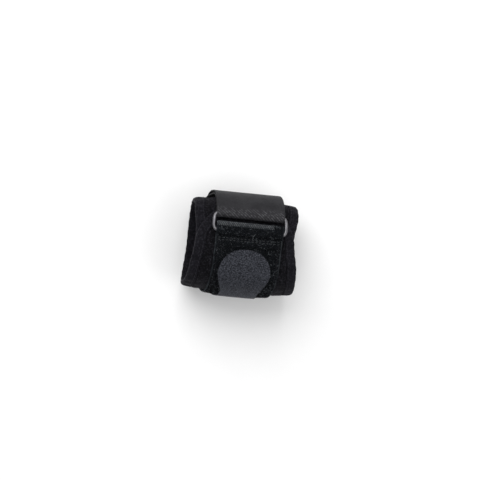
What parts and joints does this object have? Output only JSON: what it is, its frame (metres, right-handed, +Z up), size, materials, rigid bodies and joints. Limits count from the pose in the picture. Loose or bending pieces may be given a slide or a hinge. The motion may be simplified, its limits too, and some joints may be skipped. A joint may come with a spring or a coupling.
{
  "type": "wrap-around wrist support",
  "caption": "Foam-rubber wrist wrap fastened as worn, with a webbing strap doubled back through a metal ring and a round-ended hook tab pressed on a loop panel.",
  "frame": {"origin": "on the floor, under the middle of the whole support's box as it lies on its flattened back", "axes": "+X along the arm from the hand towards the elbow, +Y towards the thumb's side, +Z up, out of the palm side"},
  "size_m": [0.0824, 0.0774, 0.0607],
  "materials": {
    "neoprene": "matte knit-faced foam rubber",
    "binding_knit": "matte knitted binding tape",
    "loop_pile": "napped loop pile",
    "ring_metal": "satin nickel-plated wire",
    "webbing": "smooth woven webbing",
    "hook_tape": "woven hook tape with small dots"
  },
  "bodies": {
    "root": {"neoprene_wrap": "neoprene", "edge_binding": "binding_knit", "loop_panel": "loop_pile", "ring": "ring_metal", "strap": "webbing", "hook_tab": "hook_tape"}
  },
  "joints": []
}
